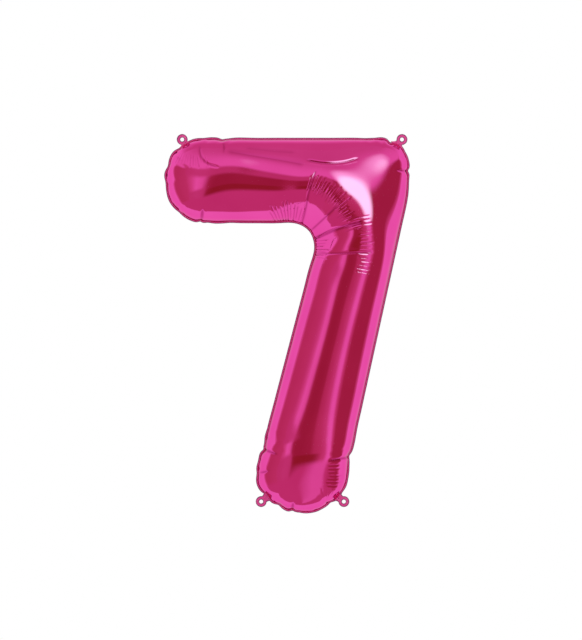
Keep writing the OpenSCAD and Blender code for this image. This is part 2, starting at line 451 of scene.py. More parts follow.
def warped(plane, seam, target, passes):
    """The film stretched smoothly in its plane until the evened seam follows the target."""
    for _ in range(WARP_PASSES):
        ring = smooth_loop(plane[seam], passes)
        move = smooth_loop(nearest_on(ring, target)[1] - ring, passes)
        pick = np.linspace(0, len(ring), WARP_HANDLES, endpoint=False).astype(int)
        plane = plane + spread(plane, ring[pick], move[pick])
    return plane


def fitted(sheets, shape):
    """The inflated film, moved so that its seam follows the inner side of the welded edge."""
    seam = sheets["seam"]
    target = seam_target()
    plane = laid_over(shape[:, [0, 2]], seam, target)
    passes = int(SEAM_SMOOTH * (COARSE_STEP / spacing(plane[seam])) ** 2 / 4)
    plane = warped(plane, seam, target, passes)
    ring = in_space(plane[seam], shape[seam, 1])
    even = smooth_loop(ring, passes)
    even[:, 1] = 0
    kept = np.array([SCALLOP_KEPT, WAVE_KEPT, SCALLOP_KEPT])
    change = even + kept * (smooth_loop(ring, NOISE_PASSES) - even) - ring
    shape = shape.copy()
    shape[:, 0], shape[:, 2] = plane.T
    gap, _, along = nearest_on(sheets["flat"][:, [0, 2]], sheets["edge"])
    places = np.arange(len(seam) + 1) * spacing(sheets["edge"])
    looped = np.vstack([change, change[:1]])
    fade = np.exp(-(gap / SCALLOP_REACH) ** 2)
    for k in range(3):
        shape[:, k] += fade * np.interp(along, places, looped[:, k])
    return shape


def spacing(loop):
    return float(lengths(np.roll(loop, -1, 0) - loop).mean())


# ---- fuller ends ----

ARM_MIDDLE_Z = TOP_Z - ARM_H / 2
ARM_RISE = (-0.30, -0.20)  # heights over which the leg gives way to the arm
# Changes of the film's depth: share of the simulated depth, middle of the place, reach
FOOT_SWELL = (0.10, -0.730, 0.048)
ARM_END_SWELL = (0.13, -0.185, 0.070)
ARM_SLIMMING = (-0.04, -0.020, 0.060)
CROWN_SWELL = (0.045, 0.0, 0.055)
BEND_SWELL = (0.10, 0.118, 0.036)
ARM_END_SLANT = 0.45
CROWN = (0.128, -0.104)  # the fullest place of the elbow
BEND_FROM = (-16, 4)  # degrees round the inner corner where the bend's swelling begins
BEND_TO = (120, 64)  # and ends


def swell(place, rule):
    share, middle, reach = rule
    return share * bell(place, middle, reach)


def filled_out(shape):
    """The foot and the arm's end close more roundly than simulated, and the arm stays even."""
    x, z = shape[:, 0], shape[:, 2]
    arm = swell(x - ARM_END_SLANT * (z - ARM_MIDDLE_Z), ARM_END_SWELL) + swell(x, ARM_SLIMMING)
    share = 1 + swell(z, FOOT_SWELL) + smoothstep(*ARM_RISE, z) * arm
    share += swell(np.hypot(x - CROWN[0], z - CROWN[1]), CROWN_SWELL)
    from_inner = shape[:, [0, 2]] - FAN_CENTRE
    turn = turn_of(from_inner)
    bend = smoothstep(*BEND_FROM, turn) * smoothstep(*BEND_TO, turn)
    share += bend * swell(lengths(from_inner), BEND_SWELL)
    shape = shape.copy()
    shape[:, 1] *= share
    return shape


# ---- evening out the simulation's own crumples ----

EVEN_WAVELENGTH = 0.060
CRUMPLE_KEPT = 0.22  # share of the crumples left in the arm's end and the foot
ELBOW_R = 0.235  # none are left this near the elbow
ELBOW_FADE = 0.04
EVEN_ROUNDS = 3  # each gives back some of what averaging took off the large shape
WAVE_PASSES = 13  # averaging passes that level a wave 2 pi sides long


def evened(sheets, shape):
    """The film without crumples shorter than a wavelength; its seam stays where it is."""
    faces = all_faces(sheets)
    edges = np.vstack([faces[:, [0, 1]], faces[:, [1, 2]], faces[:, [2, 0]]])
    edges = np.unique(np.sort(edges, axis=1), axis=0)
    free = np.ones((len(shape), 1))
    free[sheets["seam"]] = 0
    size = spacing(sheets["flat"][sheets["seam"]])
    passes = int(round(WAVE_PASSES * (EVEN_WAVELENGTH / (2 * pi * size)) ** 2))
    result = np.zeros_like(shape)
    for _ in range(EVEN_ROUNDS):
        blurred = shape - result
        for _ in range(passes):
            blurred = blurred + free * pull_together(blurred, edges)
        result = result + blurred
    gap = lengths(result[:, [0, 2]] - FAN_CENTRE)
    kept = CRUMPLE_KEPT * smoothstep(ELBOW_R, ELBOW_R + ELBOW_FADE, gap)
    return result + kept[:, None] * (shape - result)


def pull_together(points, edges):
    """For each point, the way to the average of its neighbours."""
    count = len(points)
    degree = np.bincount(edges.ravel(), minlength=count)[:, None]
    total = np.stack([
        np.bincount(edges[:, 0], points[edges[:, 1], k], count)
        + np.bincount(edges[:, 1], points[edges[:, 0], k], count) for k in range(points.shape[1])
    ], 1)
    return total / degree - points


# ---- folds of the film: places are [x, z], alike on the front and the rear ----

# Creases: points of a smooth line, depth, width
CREASES = in_metres([
    ([(18, -206), (31, -165), (41, -105), (56, -74)], 1.3, 3.2),
    ([(40, -212), (66, -190), (106, -154)], 1.3, 3.2),
    ([(47, -230), (92, -211), (132, -199), (160, -193)], 3, 4.4),
    ([(46, -262), (100, -264), (186, -261)], 1, 3.4),
    ([(32, -51), (75, -59), (118, -57), (152, -46)], 2.6, 2.8),
    ([(-150, -30), (-80, -42), (-20, -52), (30, -62)], 0.6, 8),
    ([(-110, -22), (-50, -30), (10, -34)], 0.4, 6),
    ([(-67, -710), (-50, -716), (-32, -721)], 1.8, 3.8),
    ([(140, -727), (112, -731), (82, -735)], 1.8, 3.6),
    ([(-78, -765), (-62, -762), (-50, -757)], 1.4, 3.4),
    ([(0, -853), (1, -842), (3, -830)], 2, 3.8),
    ([(-209, -190), (-206, -178), (-204, -160)], 2.4, 4),
    ([(-212, -14), (-209, -40), (-196, -58), (-165, -68)], 0.9, 3.2),
    ([(-158, -6), (-155, -20), (-155, -36)], 1, 3.4),
    ([(262, -73), (248, -73), (236, -72)], 2, 3.4),
])
# Fans of fine puckers: centre, radii, first and last angle in degrees, spacing, depth
FANS = [
    (FAN_CENTRE, (0.130, 0.172), (36, 74), 0.0070, 0.00110),
    (FAN_CENTRE, (0.128, 0.164), (14, 34), 0.0072, 0.00105),
    (FAN_CENTRE - (0.15, 0), (0.306, 0.338), (-11, 12), 0.0086, 0.00080),
    (FAN_CENTRE, (0.060, 0.100), (68, 122), 0.0074, 0.00160),
    (FAN_CENTRE - (0.10, 0), (0.156, 0.186), (-9, 5), 0.0068, 0.00150),
    ((FAN_CENTRE[0] - 0.40, -0.765), (0.486, 0.514), (-4.2, 4.0), 0.0080, 0.00070),
    ((0.075, -0.840), (0.016, 0.050), (60, 110), 0.0074, 0.00050),
    ((-0.222, 0.030), (0.070, 0.098), (-118, -68), 0.0062, 0.00070),
]
# Across a crease, in widths: the valley, the raised shoulder beside it, and where it has died out
VALLEY_W = 0.55
SHOULDER = (0.16, 1.7, 0.8)  # height as a share of the depth, place and reach
FOLD_FADE = 2.4
FOLD_REACH = 3.2
CREASE_SHARP = 0.0006  # radius of the bend at the bottom of a crease
CREASE_TAPER = (-0.002, 0.014)  # from each end, where a crease begins and where it is full
GROOVE_SHARE = 0.27  # half-width of a pucker's groove, as a share of the spacing
GROOVE_MEAN = 0.35  # the ribs between stand out by this share of the depth
PUCKER_STRENGTH = (0.55, 1.0)
PUCKER_SHIFT = 0.12
PUCKER_START = (-0.003, 0.006)  # how unevenly the puckers start and stop along the radius
PUCKER_STOP = (-0.010, 0.004)
PUCKER_SIDE = (0.5, 0.34)  # spacings from its middle where a pucker has died out and where it is full
PUCKER_RISE = 0.004
PUCKER_FALL = 0.006
REFINE_CUTS = 2
REFINE_FROM = 0.00012  # folds deeper than this get more points
RELAX_ROUNDS = 3
RELAX_STEPS = [0.5, -0.52]  # a push together and one back, so that the size stays
SEAM_FREE = 0.004  # folds reach their full depth this far in from the seam
FOLD_SHADE = "fold_shade"  # painted shade: how much a fold or the seam shuts off the light at each point, painted into the film's colour
DEEP_FOLD = 0.0011  # a fold this deep has the full shade
# painted shade along the seam: how dark, and over what width
SEAM_SHADE = 0.45
SEAM_SHADE_W = 0.0045


def smooth_line(points, passes=4):
    """Corners cut again and again until the line is a curve; the ends stay."""
    line = np.array(points, float)
    for _ in range(passes):
        quarter, three = line[:-1] * 0.75 + line[1:] * 0.25, line[:-1] * 0.25 + line[1:] * 0.75
        line = np.vstack([line[:1], np.stack([quarter, three], 1).reshape(-1, 2), line[-1:]])
    return line


def crease_depth(plane, points, depth, width):
    line = smooth_line(points)
    result = np.zeros(len(plane))
    reach = FOLD_REACH * width
    near = ((plane > line.min(0) - reach) & (plane < line.max(0) + reach)).all(1)
    gap, _, along = nearest_on(plane[near], line, closed=False)
    length = lengths(np.diff(line, axis=0)).sum()
    sharp = np.sqrt(gap ** 2 + CREASE_SHARP ** 2) - CREASE_SHARP
    valley = np.exp(-sharp / (VALLEY_W * width))
    shoulder = swell(gap / width, SHOULDER)
    fade = smoothstep(*CREASE_TAPER, along) * smoothstep(*CREASE_TAPER, length - along)
    result[near] = depth * fade * (valley - shoulder) * smoothstep(reach, FOLD_FADE * width, gap)
    return result


def fan_depth(plane, rng, centre, radii, angles, pitch, depth):
    offset = plane - centre
    radius = lengths(offset)
    angle = turn_of(offset)
    middle = sum(radii) / 2
    place = np.radians(angle - angles[0]) * middle / pitch
    count = int(np.radians(angles[1] - angles[0]) * middle / pitch) + 2
    strength = rng.uniform(*PUCKER_STRENGTH, count)
    shift = rng.uniform(-PUCKER_SHIFT, PUCKER_SHIFT, count)
    inner = radii[0] + rng.uniform(*PUCKER_START, count)
    outer = radii[1] + rng.uniform(*PUCKER_STOP, count)
    rib = np.clip(np.round(place), 0, count - 1).astype(int)
    local = place - rib - shift[rib]
    groove = bell(local, 0, GROOVE_SHARE) - GROOVE_MEAN
    window = smoothstep(inner[rib] - PUCKER_RISE, inner[rib] + PUCKER_RISE, radius)
    window *= 1 - smoothstep(outer[rib] - PUCKER_FALL, outer[rib] + PUCKER_RISE, radius)
    window *= (angle > angles[0]) & (angle < angles[1])
    window *= smoothstep(*PUCKER_SIDE, np.abs(place - rib))
    return depth * strength[rib] * groove * window


def fold_depth(plane, seed):
    """How far inwards each point of the film goes, for all creases and puckers."""
    rng = np.random.default_rng(seed)
    total = np.zeros(len(plane))
    for crease in CREASES:
        total += crease_depth(plane, *crease)
    for fan in FANS:
        total += fan_depth(plane, rng, *fan)
    return total


# ---- meshes ----


def new_object(name, points, faces, material):
    mesh = bpy.data.meshes.new(name)
    mesh.from_pydata(np.asarray(points).tolist(), [], [list(f) for f in faces])
    mesh.materials.append(material)
    mesh.shade_smooth()
    piece = bpy.data.objects.new(name, mesh)
    scene.collection.objects.link(piece)
    return piece


def apply_modifiers(piece):
    graph = bpy.context.evaluated_depsgraph_get()
    mesh = bpy.data.meshes.new_from_object(piece.evaluated_get(graph))
    old = piece.data
    piece.modifiers.clear()
    piece.data = mesh
    bpy.data.meshes.remove(old)
    mesh.name = piece.name
    mesh.shade_smooth()


def set_coordinates(mesh, points):
    mesh.vertices.foreach_set("co", np.asarray(points, float).ravel())
    mesh.update()


def edited(mesh, change):
    grid = bmesh.new()
    grid.from_mesh(mesh)
    change(grid)
    grid.to_mesh(mesh)
    grid.free()


def refine(piece, chosen):
    """Splits the faces whose centres are chosen, so that fine folds have enough points."""
    def split(grid):
        centres = np.array([f.calc_center_median()[:] for f in grid.faces])
        pick = chosen(centres[:, [0, 2]])
        edges = {e for f, yes in zip(grid.faces, pick) if yes for e in f.edges}
        bmesh.ops.subdivide_edges(grid, edges=list(edges), cuts=REFINE_CUTS, use_grid_fill=True)

    edited(piece.data, split)
    piece.data.shade_smooth()


def relax(mesh, passes, pinned):
    """Evens the surface a little without moving the pinned points."""
    edges = rows_of(mesh.edges, "vertices", 2, int)
    points = rows_of(mesh.vertices, "co")
    for factor in RELAX_STEPS * passes:
        move = factor * pull_together(points, edges)
        move[pinned] = 0
        points = points + move
    set_coordinates(mesh, points)


def edge_ring(mesh):
    """The points of the mesh's open edge, in order."""
    uses = Counter(key for polygon in mesh.polygons for key in polygon.edge_keys)
    links = {}
    for (a, b), count in uses.items():
        if count == 1:
            links.setdefault(a, []).append(b)
            links.setdefault(b, []).append(a)
    ring, before = [min(links)], None
    while True:
        ahead = next(v for v in links[ring[-1]] if v != before)
        if ahead == ring[0]:
            return ring
        before = ring[-1]
        ring.append(ahead)


def notched(points):
    """The film with its notches pushed in from the edge."""
    outline = rounded_outline(CORNERS, 0, OUTLINE_STEP)
    inward = -outward_of(outline)
    for spot, depth, reach in NOTCHES:
        share = bell(lengths(points[:, [0, 2]] - spot), 0, reach)
        nearest = lengths(outline - spot).argmin()
        points[:, [0, 2]] += depth * share[:, None] * inward[nearest]
    return points


def film_sheet(name, sheets, shape, is_front, material):
    """One sheet of the inflated film, subdivided, with its folds pressed in and painted shade stored for its
    folds and its seam.
    """
    tris = sheets["tris"] if is_front else sheets["rear"][sheets["tris"]][:, ::-1]
    used = np.unique(tris)
    index = np.zeros(len(shape), int)
    index[used] = np.arange(len(used))
    piece = new_object(name, shape[used], index[tris], material)
    finer = piece.modifiers.new("finer", "SUBSURF")
    finer.levels = finer.render_levels = 1
    finer.boundary_smooth = "ALL"
    apply_modifiers(piece)
    seed = 5 if is_front else 6
    refine(piece, lambda plane: np.abs(fold_depth(plane, seed)) > REFINE_FROM)
    mesh = piece.data
    ring = edge_ring(mesh)
    relax(mesh, RELAX_ROUNDS, ring)
    points = notched(rows_of(mesh.vertices, "co"))
    set_coordinates(mesh, points)
    edge_tree = tree_of(points[ring])
    gap = np.array([edge_tree.find(p)[2] for p in points])
    inward = fold_depth(points[:, [0, 2]], seed) * smoothstep(0, SEAM_FREE, gap)
    set_coordinates(mesh, points - inward[:, None] * rows_of(mesh.vertex_normals, "vector"))
    # painted shade: deeper folds and the seam get a darker colour
    shade = np.clip(inward / DEEP_FOLD, 0, 1) + SEAM_SHADE * (1 - smoothstep(0, SEAM_SHADE_W, gap))
    mesh.attributes.new(FOLD_SHADE, "FLOAT", "POINT").data.foreach_set("value", np.clip(shade, 0, 1))
    return piece, points[ring]


# ---- welded edge and tabs ----

WELD_T = 0.0006
WELD_TUCK = 0.0012  # the weld starts this far inside the film's edge
# Across the weld, from its front inner side round the edge and back: shares of the width and the thickness
HALF_PROFILE = [(0, 0.5), (0.35, 0.5), (0.62, 0.5), (0.94, 0.42)]
WELD_PROFILE = HALF_PROFILE + [(1, 0)] + [(across, -up) for across, up in HALF_PROFILE[::-1]]
LINE_ROWS = (2, 6)  # between these rows of the profile lies the darker cut line: a duller edge, darkened with painted shade
FLUTTER = 0.00015
FLUTTER_PITCH = 0.0115
FLUTTER_STRAY = (1.5, 37)  # how far it strays from an even beat, and how fast along the edge
UPPER_X = UPPER_HOLE_SPACING / 2
LOWER_X = LOWER_HOLE_SPACING / 2
# Each tab: its hole, and the centre and radius of the rounded corner it stands on
TABS = {
    "tab_upper_left": ((-UPPER_X, 0), (R_UPPER_LEFT - ARM_LEFT, TOP_Z - R_UPPER_LEFT), R_UPPER_LEFT),
    "tab_upper_right": ((UPPER_X, 0), (CORNER_RIGHT - R_UPPER_RIGHT, TOP_Z - R_UPPER_RIGHT), R_UPPER_RIGHT),
    "tab_lower_left": ((LOWER_HOLE_X - LOWER_X, -LOWER_HOLE_Z), FOOT_CENTRE, R_FOOT),
    "tab_lower_right": ((LOWER_HOLE_X + LOWER_X, -LOWER_HOLE_Z), FOOT_CENTRE, R_FOOT),
}


def welded_edge(ring, material, border):
    """The flat strip outside the seam: two films welded together, with a slight flutter. Its outermost line
    is duller and darkened with painted shade.
    """
    plane = ring[:, [0, 2]]
    count = len(ring)
    away = smooth_loop(outward_of(smooth_loop(plane, 4)), 4)
    depth = smooth_loop(ring[:, 1:2], 3)[:, 0]
    along = distance_along(plane)
    stray, pace = FLUTTER_STRAY
    wave = np.sin(2 * pi * along / FLUTTER_PITCH + stray * np.sin(along * pace))
    rows = []
    for u, half in WELD_PROFILE:
        spot = plane + away * (u * (WELD_W + WELD_TUCK) - WELD_TUCK)
        rows.append(in_space(spot, depth + wave * FLUTTER * u - half * WELD_T))
    faces = []
    for r in range(len(rows)):
        here, after = r * count, (r + 1) % len(rows) * count
        faces += [(here + i, here + j, after + j, after + i) for i, j in ring_sides(count)]
    piece = new_object("welded_edge", np.vstack(rows), faces, material)
    piece.data.materials.append(border)
    # the outermost rows take the second material: duller, and darkened with painted shade
    first, last = LINE_ROWS
    for face, polygon in zip(faces, piece.data.polygons):
        polygon.material_index = int(all(first <= corner // count <= last for corner in face))
    face_outwards(piece)
    return piece


def face_outwards(piece):
    edited(piece.data, lambda grid: bmesh.ops.recalc_face_normals(grid, faces=grid.faces))


TAB_T = 0.0009
TAB_STEP = 0.0011
TAB_CLEAR = 0.5  # inner points keep this share of a step away from the hole
BORDER_CLEAR = 0.55  # and this share away from the border
NECK_HALF = 0.0086
ROOT_HALF = 0.0185
ROOT_DEPTH = 0.0070  # the root runs this far in behind the outline
FLARE_POWER = 1.7
RIM_W = 0.0025  # width of the darker line at the border and round the hole: a duller edge, darkened with painted shade
# Raised lines on both faces: share of the line's height, distance from the hole or border, reach
HOLE_LINE = (1.0, 0.0012, 0.0009)
BORDER_LINE = (0.7, 0.0011, 0.0009)
LINE_H = 0.00028
RIPPLE_H = 0.00022
RIPPLE_PACE = 900
RIPPLE_FROM = (0.006, 0.014)  # from the hole inwards
CURL = 0.0011
CURL_FROM = (0.010, -0.004)
FOLLOW_FROM = 0.002  # from the hole, where the tab begins to follow the seam
FOLLOW_END = 0.004  # and from its root, where it follows it fully


def tab_outline(reach):
    """Half of the tab's border as (inwards, across): round the ring, down the neck, out along the flare."""
    neck_u = sqrt(TAB_R ** 2 - NECK_HALF ** 2)
    neck = atan2(NECK_HALF, neck_u)
    ring = [(TAB_R * cos(a), TAB_R * sin(a)) for a in np.linspace(pi, neck, 34)]
    flare = [
        (neck_u + (reach - neck_u) * t, NECK_HALF + (ROOT_HALF - NECK_HALF) * t ** FLARE_POWER)
        for t in np.linspace(0.06, 1, 14)
    ]
    return ring + flare


def tab_plane(border, punched):
    """Points and triangles of a flat tab inside its border and outside its hole."""
    low, high = border.min(0), border.max(0)
    steps = [np.arange(low[k], high[k], TAB_STEP) for k in range(2)]
    grid = np.stack(np.meshgrid(*steps), -1).reshape(-1, 2)
    grid = grid[inside(grid, border) & ~inside(grid, punched)]
    clear = nearest_on(grid, border)[0] > BORDER_CLEAR * TAB_STEP
    grid = grid[clear & (nearest_on(grid, punched)[0] > TAB_CLEAR * TAB_STEP)]
    rings = ring_sides(len(border)) + ring_sides(len(punched), len(border))
    flat, faces, _ = triangulated(np.vstack([border, punched, grid]), rings, 0, 1e-5)
    middles = np.array([flat[list(f)].mean(0) for f in faces])
    keep = inside(middles, border) & ~inside(middles, punched)
    return flat, [f for f, yes in zip(faces, keep) if yes]


def closed_faces(faces, count):
    """The faces of a plate: its front, its back, count points further on, and the walls between."""
    sides = {(a, b): True for f in faces for a, b in zip(f, f[1:] + f[:1])}
    walls = [(a, b, b + count, a + count) for a, b in sides if (b, a) not in sides]
    return faces + [[i + count for i in f[::-1]] for f in faces] + walls


def hanging_tab(name, seam, material, dull_rim_painted_shade_material):
    """A punched tab of welded film, its root let into the edge and following it."""
    hole, centre, radius = (np.array(value) for value in TABS[name])
    way = np.linalg.norm(centre - hole)
    inward = (centre - hole) / way
    across = left_of(inward)
    reach = way - radius + ROOT_DEPTH
    half = tab_outline(reach)
    border = resample(np.array(half + [(u, -v) for u, v in half[:0:-1]]), TAB_STEP)
    turns = np.linspace(0, 2 * pi, 40, endpoint=False)
    punched = HOLE_R * np.stack([np.cos(turns), np.sin(turns)], 1)
    flat, faces = tab_plane(border, punched)
    plane = hole + flat[:, :1] * inward + flat[:, 1:] * across
    near_hole, near_border = (nearest_on(flat, ring)[0] for ring in (punched, border))
    thick = TAB_T / 2 + LINE_H * (swell(near_hole, HOLE_LINE) + swell(near_border, BORDER_LINE))
    ripple = RIPPLE_H * np.sin(flat[:, 1] * RIPPLE_PACE) * smoothstep(*RIPPLE_FROM, flat[:, 0])
    curl = CURL * (flat[:, 1] / TAB_R) ** 2 * smoothstep(*CURL_FROM, flat[:, 0])
    follow = smoothstep(FOLLOW_FROM, reach - FOLLOW_END, flat[:, 0])
    middle = seam_depth(plane, seam) * follow + ripple + curl
    count = len(flat)
    points = np.vstack([in_space(plane, middle - thick), in_space(plane, middle + thick)])
    piece = new_object(name + "_film", points, closed_faces(faces, count), material)
    piece.data.materials.append(dull_rim_painted_shade_material)
    # the border and the hole get the duller line, darkened with painted shade
    rim = (np.minimum(near_hole, near_border) < RIM_W) & (flat[:, 0] < reach - ROOT_DEPTH)
    for polygon in piece.data.polygons:
        polygon.material_index = int(all(rim[v % count] for v in polygon.vertices))
    face_outwards(piece)
    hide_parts(name)
    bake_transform(piece)


def seam_depth(plane, seam):
    """The seam's own Y at the place nearest each point."""
    gap = lengths(plane[:, None] - seam[:, [0, 2]])
    return smooth_loop(seam[:, 1:2], 6)[gap.argmin(1), 0]


# ---- materials ----

RAMP_STOPS = (0.3, 0.7)


def node(tree, kind, inputs=None, **settings):
    made = tree.nodes.new("ShaderNode" + kind)
    for name, value in settings.items():
        setattr(made, name, value)
    for name, value in (inputs or {}).items():
        if isinstance(value, bpy.types.NodeSocket):
            tree.links.new(value, made.inputs[name])
        else:
            made.inputs[name].default_value = value
    return made


def new_material(name, **surface):
    """A Principled material with the given uniform socket values."""
    material = bpy.data.materials.new(name)
    material.use_nodes = True
    tree = material.node_tree
    shader = tree.nodes["Principled BSDF"]
    for socket, value in surface.items():
        shader.inputs[socket.replace("_", " ")].default_value = value
    place = node(tree, "TexCoord").outputs["Object"]
    return material, tree, shader, place


def noise(tree, place, scale, detail=2.0, roughness=0.5):
    inputs = {"Vector": place, "Scale": scale, "Detail": detail, "Roughness": roughness}
    return node(tree, "TexNoise", inputs).outputs["Fac"]


def between(tree, value, low, high):
    """The value from 0 to 1, taken to the span from low to high."""
    inputs = {"Value": value, "To Min": low, "To Max": high}
    return node(tree, "MapRange", inputs).outputs["Result"]


def tinted(tree, factor, first, second):
    ramp = node(tree, "ValToRGB", {"Fac": factor})
    for stop, colour, spot in zip(ramp.color_ramp.elements, (first, second), RAMP_STOPS):
        stop.color = (*colour, 1)
        stop.position = spot
    return ramp.outputs["Color"]


def mixed(tree, factor, first, second):
    """A colour between two. A plain one is given as red, green and blue."""
    first, second = ((*colour, 1) if isinstance(colour, tuple) else colour for colour in (first, second))
    return node(tree, "Mix", {0: factor, 6: first, 7: second}, data_type="RGBA").outputs[2]


def dressed(tree, shader, colour, roughness):
    tree.links.new(colour, shader.inputs["Base Color"])
    tree.links.new(roughness, shader.inputs["Roughness"])


def bumped(tree, shader, layers):
    """Bump layers (height, strength, distance) laid one on another."""
    normal = None
    for height, strength, distance in layers:
        inputs = {"Height": height, "Strength": strength, "Distance": distance}
        if normal is not None:
            inputs["Normal"] = normal
        normal = node(tree, "Bump", inputs).outputs["Normal"]
    tree.links.new(normal, shader.inputs["Normal"])


FOIL_SHEEN = (0.92, 0.48, 0.68, 1)
FOLD_PAINTED_SHADE_COLOUR = (0.40, 0.012, 0.13)  # painted shade: the film's colour at the bottom of a fold
# painted shade: the most that a fold or the seam is darkened towards the fold colour
FOLD_PAINTED_SHADE_STRENGTH = 0.75


def foil_material():
    """Magenta metallised film: a mirror with a faint cockle and a fine rolled grain, with painted shade in
    its folds and along its seam.
    """
    material, tree, shader, place = new_material(
        "magenta_foil", Metallic=1.0, Specular_Tint=FOIL_SHEEN, Coat_Weight=0.10, Coat_Roughness=0.05
    )
    mottle = noise(tree, place, 9.0, 3.0)
    film = tinted(tree, mottle, (0.74, 0.056, 0.315), (0.78, 0.066, 0.345))
    # painted shade: folds and the seam are darkened towards a deep crimson
    shade = node(tree, "Attribute", attribute_name=FOLD_SHADE).outputs["Fac"]
    colour = mixed(tree, between(tree, shade, 0.0, FOLD_PAINTED_SHADE_STRENGTH), film, FOLD_PAINTED_SHADE_COLOUR)
    haze = noise(tree, place, 26.0, 4.0, 0.6)
    dressed(tree, shader, colour, between(tree, haze, 0.05, 0.10))
    cockle = noise(tree, place, 22.0, 2.0)
    grain = noise(tree, place, 1400.0, 1.0)
    bumped(tree, shader, [(cockle, 0.12, 0.0008), (grain, 0.012, 0.00005)])
    return material


def weld_material():
    """The heat-welded border: the same film, duller, with the weld's fine press marks."""
    return pressed_film("welded_foil", 0.15, (0.76, 0.070, 0.31), (0.82, 0.078, 0.34), (0.28, 0.36))


def dull_edge_painted_shade_material():
    """The outermost line of the weld, where the die cut it and the heat dulled it. Its dark colour is
    painted shade of the turning edge.
    """
    return pressed_film("dull_edge_painted_shade", 0.10, (0.23, 0.036, 0.140), (0.27, 0.042, 0.160), (0.45, 0.55))


def pressed_film(name, metal, dark, pale, roughness):
    material, tree, shader, place = new_material(name, Metallic=metal, Specular_IOR_Level=0.2)
    colour = tinted(tree, noise(tree, place, 60.0, 3.0), dark, pale)
    dressed(tree, shader, colour, between(tree, noise(tree, place, 120.0), *roughness))
    press = node(tree, "TexVoronoi", {"Vector": place, "Scale": 900.0}).outputs["Distance"]
    bumped(tree, shader, [(noise(tree, place, 70.0), 0.08, 0.0004), (press, 0.06, 0.00005)])
    return material


def valve_film_material():
    """Clear-white polyethylene film of the valve's plies."""
    material, tree, shader, place = new_material(
        "valve_film", IOR=1.5, Transmission_Weight=0.35, Coat_Weight=0.3
    )
    cloud = noise(tree, place, 40.0, 3.0)
    colour = tinted(tree, cloud, (0.80, 0.80, 0.78), (0.90, 0.90, 0.88))
    dressed(tree, shader, colour, between(tree, noise(tree, place, 150.0), 0.18, 0.36))
    bumped(tree, shader, [(cloud, 0.3, 0.0008), (noise(tree, place, 700.0), 0.15, 0.0001)])
    return material


def release_ink_material():
    """Blue heat-resistant ink, printed a little unevenly."""
    material, tree, shader, place = new_material("release_ink", IOR=1.45)
    dots = node(tree, "TexVoronoi", {"Vector": place, "Scale": 1100.0}).outputs["Distance"]
    colour = tinted(tree, dots, (0.035, 0.16, 0.50), (0.07, 0.24, 0.62))
    dressed(tree, shader, colour, between(tree, noise(tree, place, 300.0), 0.45, 0.65))
    bumped(tree, shader, [(dots, 0.3, 0.00008)])
    return material


def floor_material():
    material, tree, shader, place = new_material("pale_floor", IOR=1.4)
    mottle = noise(tree, place, 1.3, 3.0)
    colour = tinted(tree, mottle, (0.84, 0.84, 0.84), (0.88, 0.88, 0.88))
    dressed(tree, shader, colour, between(tree, mottle, 0.6, 0.75))
    return material


# ---- studio ----

FLOOR_Z = -1.55
FLOOR_R = 1.9
CAMERA_DISTANCE = 8.0
VIEW_HEIGHT = 1.4707  # height of the view at the balloon
VIEW_X = -0.0025
VIEW_Z = -0.4148
SENSOR = 24.0

# Walls at eye height: azimuth from the camera in degrees (right is positive) and level
WALLS = [
    (-112, 1.06), (-104, 0.85), (-97, 0.60), (-84, 0.60), (-60, 0.64), (-50, 0.80), (-42, 0.98), (-34, 0.92),
    (-27, 0.46), (-21, 0.40), (-10, 0.40), (0, 0.43), (5, 0.56), (14, 0.62), (24, 0.72), (33, 1.00),
    (40, 1.00), (46, 0.70), (54, 0.46), (64, 0.45), (95, 0.45), (103, 0.75), (110, 1.06),
]
WALL_TINT = (1.0, 2.3, 2.4)  # powers of the level for red, green and blue: a darker wall is redder
# Pairs below say where a part of the room begins and where it is full, in degrees of azimuth or elevation
# or as a share of the direction. Darker patches: pairs of elevation, pairs of azimuth, colour
PATCHES = [
    ([(-13, -18), (-52, -33)], [(-32, -17), (18, 3)], (0.33, 0.10, 0.05)),
    ([(6, 14)], [(-66, -58), (3, -6)], (0.66, 0.38, 0.40)),
    ([(-7, -15)], [(-62, -56), (-24, -31)], (0.64, 0.36, 0.38)),
]
PATCH_SHARE = 0.9
GROUND = (-26, -38)
GROUND_SINKS = (38, 52)  # the ground begins lower beyond this azimuth, by so many degrees
SINK = 8.0
GROUND_COLOUR = (0.66, 0.35, 0.40)
POOL = ((-4, 14), (48, 34))  # a lit pool on the ground
POOL_COLOUR = (0.90, 0.80, 0.82)
CEILING = (22, 30)
CEILING_FALL = (35, 80)
CEILING_COLOURS = ((0.98, 0.94, 0.96), (0.74, 0.54, 0.57))
BACKDROP = (0.12, 0.18)
BACKDROP_SIDES = (0.5, 0.85)  # the backdrop begins further back at the sides
BACKDROP_RECESS = -0.12
BACKDROP_FALL = (30, 60)
BACKDROP_COLOURS = ((1.06, 1.15, 1.15), (0.74, 0.50, 0.55))
BACKDROP_MIDDLE = (0.84, 0.96)
MIDDLE_SHARE = 0.75
MIDDLE_COLOUR = (0.60, 0.36, 0.42)
GLOW = (-1, 9)  # no softbox glows below eye height
# Softboxes: direction, where the glow starts and where it is full (degrees off that direction), colour
SOFTBOXES = [
    ((0.44, -0.69, 0.56), 28.0, 8.0, (1.40, 5.0, 2.20)),
    ((0.535, -0.75, 0.39), 26.0, 12.0, (1.7, 10.0, 3.2)),
]
MATT_LIGHT = (0.95, 0.93, 0.94)


def number(tree, operation, *values):
    return node(tree, "Math", dict(enumerate(values)), operation=operation).outputs[0]


def product(tree, factors):
    total = factors[0]
    for factor in factors[1:]:
        total = number(tree, "MULTIPLY", total, factor)
    return total


def fading(tree, value, begin, full):
    """0 before the place where a part begins and 1 where it is full, either way round."""
    inputs = {"Value": value, "From Min": begin, "From Max": full}
    return node(tree, "MapRange", inputs, interpolation_type="SMOOTHSTEP").outputs["Result"]


